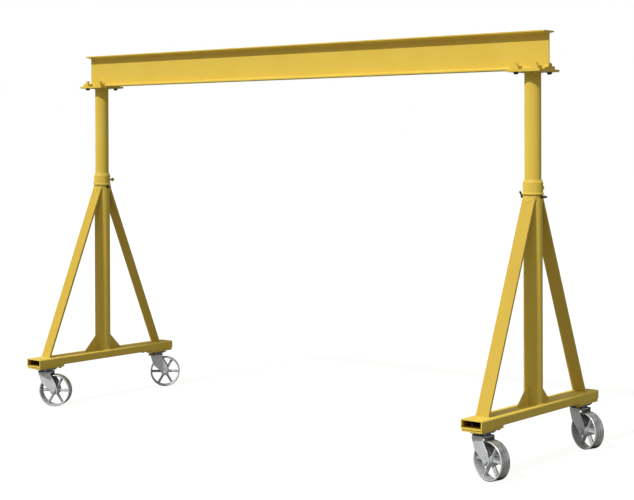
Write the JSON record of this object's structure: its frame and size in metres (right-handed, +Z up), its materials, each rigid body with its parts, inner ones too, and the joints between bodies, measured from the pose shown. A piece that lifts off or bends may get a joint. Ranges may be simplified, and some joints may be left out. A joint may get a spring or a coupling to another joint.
{
  "type": "gantry crane",
  "caption": "Rolling gantry crane: an I-beam bolted on two telescoping pipe legs, each braced to a base tube that rides on swivel casters with spoked iron wheels.",
  "frame": {"origin": "on the floor, midway between the two legs and midway between the casters of a leg", "axes": "+X along the beam to the right leg, +Y across the beam to the rear, +Z up"},
  "size_m": [3.6115, 1.2297, 2.2794],
  "materials": {
    "safety_paint": "glossy yellow enamel sprayed on steel",
    "plated_steel": "zinc plated steel",
    "black_steel": "hot black oxide on turned steel, oiled",
    "cast_iron": "sand cast iron in silver paint, turned tread"
  },
  "bodies": {
    "left_leg": {"left_sleeve": "safety_paint", "left_collar": "safety_paint", "left_height_pin": "black_steel", "left_lock_screw": "safety_paint", "left_base_tube": "safety_paint", "left_front_brace": "safety_paint", "left_front_gusset": "safety_paint", "left_front_pad": "safety_paint", "left_front_caster_plate": "plated_steel", "left_rear_brace": "safety_paint", "left_rear_gusset": "safety_paint", "left_rear_pad": "safety_paint", "left_rear_caster_plate": "plated_steel"},
    "beam_frame": {"main_beam": "safety_paint", "left_head_plate": "safety_paint", "left_beam_clips": "safety_paint", "left_mast": "safety_paint", "right_head_plate": "safety_paint", "right_beam_clips": "safety_paint", "right_mast": "safety_paint"},
    "right_leg": {"right_sleeve": "safety_paint", "right_collar": "safety_paint", "right_height_pin": "black_steel", "right_lock_screw": "safety_paint", "right_base_tube": "safety_paint", "right_front_brace": "safety_paint", "right_front_gusset": "safety_paint", "right_front_pad": "safety_paint", "right_front_caster_plate": "plated_steel", "right_rear_brace": "safety_paint", "right_rear_gusset": "safety_paint", "right_rear_pad": "safety_paint", "right_rear_caster_plate": "plated_steel"},
    "left_front_swivel": {"left_front_fork": "plated_steel", "left_front_axle": "plated_steel"},
    "left_front_wheel": {"left_front_wheel": "cast_iron"},
    "left_rear_swivel": {"left_rear_fork": "plated_steel", "left_rear_axle": "plated_steel"},
    "left_rear_wheel": {"left_rear_wheel": "cast_iron"},
    "right_front_swivel": {"right_front_fork": "plated_steel", "right_front_axle": "plated_steel"},
    "right_front_wheel": {"right_front_wheel": "cast_iron"},
    "right_rear_swivel": {"right_rear_fork": "plated_steel", "right_rear_axle": "plated_steel"},
    "right_rear_wheel": {"right_rear_wheel": "cast_iron"}
  },
  "joints": [
    {"name": "left_height", "type": "slide", "parent": "left_leg", "child": "beam_frame", "axis": [0, 0, 1], "range_m": [0, 0.6096]},
    {"name": "right_height", "type": "slide", "parent": "beam_frame", "child": "right_leg", "axis": [0, 0, -1], "range_m": [0, 0.6096]},
    {"name": "left_front_swivel_turn", "type": "hinge", "parent": "left_leg", "child": "left_front_swivel", "pos_m": [-1.67, -0.4953, 0.216], "axis": [0, 0, 1], "continuous": true},
    {"name": "left_front_wheel_spin", "type": "hinge", "parent": "left_front_swivel", "child": "left_front_wheel", "pos_m": [-1.61284, -0.4623, 0.1016], "axis": [-0.5, 0.866, 0], "continuous": true},
    {"name": "left_rear_swivel_turn", "type": "hinge", "parent": "left_leg", "child": "left_rear_swivel", "pos_m": [-1.67, 0.4953, 0.216], "axis": [0, 0, 1], "continuous": true},
    {"name": "left_rear_wheel_spin", "type": "hinge", "parent": "left_rear_swivel", "child": "left_rear_wheel", "pos_m": [-1.62252, 0.54115, 0.1016], "axis": [-0.6947, 0.7193, 0], "continuous": true},
    {"name": "right_front_swivel_turn", "type": "hinge", "parent": "right_leg", "child": "right_front_swivel", "pos_m": [1.67, -0.4953, 0.216], "axis": [0, 0, 1], "continuous": true},
    {"name": "right_front_wheel_spin", "type": "hinge", "parent": "right_front_swivel", "child": "right_front_wheel", "pos_m": [1.73431, -0.51015, 0.1016], "axis": [0.225, 0.9744, 0], "continuous": true},
    {"name": "right_rear_swivel_turn", "type": "hinge", "parent": "right_leg", "child": "right_rear_swivel", "pos_m": [1.67, 0.4953, 0.216], "axis": [0, 0, 1], "continuous": true},
    {"name": "right_rear_wheel_spin", "type": "hinge", "parent": "right_rear_swivel", "child": "right_rear_wheel", "pos_m": [1.73221, 0.47327, 0.1016], "axis": [0.3338, 0.9426, 0], "continuous": true}
  ],
  "couplings": [
    {"joint": "right_height", "follows": "left_height", "ratio": 1}
  ]
}
